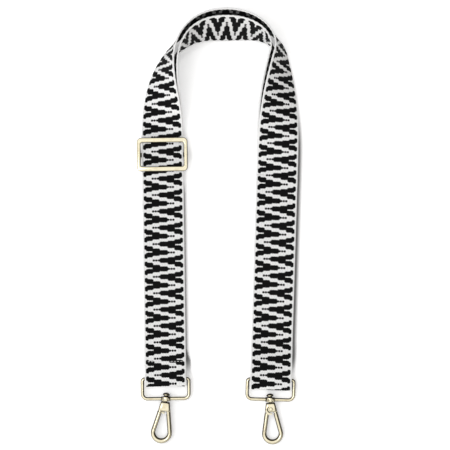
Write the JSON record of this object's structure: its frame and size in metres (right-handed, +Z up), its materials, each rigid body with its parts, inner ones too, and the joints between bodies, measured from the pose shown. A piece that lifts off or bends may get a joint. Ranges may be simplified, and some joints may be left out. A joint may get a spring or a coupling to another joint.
{
  "type": "bag strap",
  "caption": "Adjustable shoulder strap for a bag: black and white patterned webbing, one slider and a pale gold swivel snap hook at each end.",
  "frame": {"origin": "centre of the box that holds the whole strap, on the table it lies on", "axes": "+X across the legs towards the right one, +Y from the hooks to the arch, +Z up from the table"},
  "size_m": [0.1452, 0.3857, 0.0393],
  "materials": {
    "webbing": "woven, black and white",
    "pale_gold": "polished pale gold plating",
    "spring_steel": "drawn wire"
  },
  "bodies": {
    "root": {"webbing_left_leg": "webbing", "webbing_left_fold": "webbing", "webbing_outer_arch": "webbing", "webbing_inner_arch": "webbing", "webbing_slider_run": "webbing", "webbing_right_leg": "webbing", "webbing_right_leg_under": "webbing", "webbing_right_fold": "webbing"},
    "slider": {"slider": "pale_gold", "webbing_slider_loop": "webbing"},
    "left_ring": {"left_ring": "pale_gold"},
    "left_hook": {"left_hook": "pale_gold", "left_swivel_dome": "pale_gold", "left_gate_pin": "pale_gold", "left_gate_spring": "spring_steel"},
    "left_gate": {"left_gate": "pale_gold"},
    "right_ring": {"right_ring": "pale_gold"},
    "right_hook": {"right_hook": "pale_gold", "right_swivel_dome": "pale_gold", "right_gate_pin": "pale_gold", "right_gate_spring": "spring_steel"},
    "right_gate": {"right_gate": "pale_gold"}
  },
  "joints": [
    {"name": "slider_slide", "type": "slide", "parent": "root", "child": "slider", "axis": [-0.0131, 0.9999, 0], "range_m": [-0.155, 0], "deforming": ["webbing_slider_run"]},
    {"name": "left_ring_hinge", "type": "hinge", "parent": "root", "child": "left_ring", "pos_m": [-0.04719, -0.1338, 0.00405], "axis": [0.9999, 0.0131, 0], "range_deg": [-100, 100]},
    {"name": "left_swivel", "type": "hinge", "parent": "left_ring", "child": "left_hook", "pos_m": [-0.04696, -0.1515, 0.00405], "axis": [0.1305, 0.9914, 0], "continuous": true},
    {"name": "left_gate_hinge", "type": "hinge", "parent": "left_hook", "child": "left_gate", "pos_m": [-0.04806, -0.15993, 0.00405], "axis": [0, 0, 1], "range_deg": [0, 24], "stiffness_Nm_per_rad": 0.02, "springref_deg": -20.05, "deforming": ["left_gate_spring"]},
    {"name": "right_ring_hinge", "type": "hinge", "parent": "root", "child": "right_ring", "pos_m": [0.0471, -0.1346, 0.00405], "axis": [0.9995, -0.0305, 0], "range_deg": [-100, 100]},
    {"name": "right_swivel", "type": "hinge", "parent": "right_ring", "child": "right_hook", "pos_m": [0.04656, -0.15229, 0.00405], "axis": [-0.0698, 0.9976, 0], "continuous": true},
    {"name": "right_gate_hinge", "type": "hinge", "parent": "right_hook", "child": "right_gate", "pos_m": [0.04716, -0.16077, 0.00405], "axis": [0, 0, 1], "range_deg": [0, 24], "stiffness_Nm_per_rad": 0.02, "springref_deg": -20.05, "deforming": ["right_gate_spring"]}
  ]
}
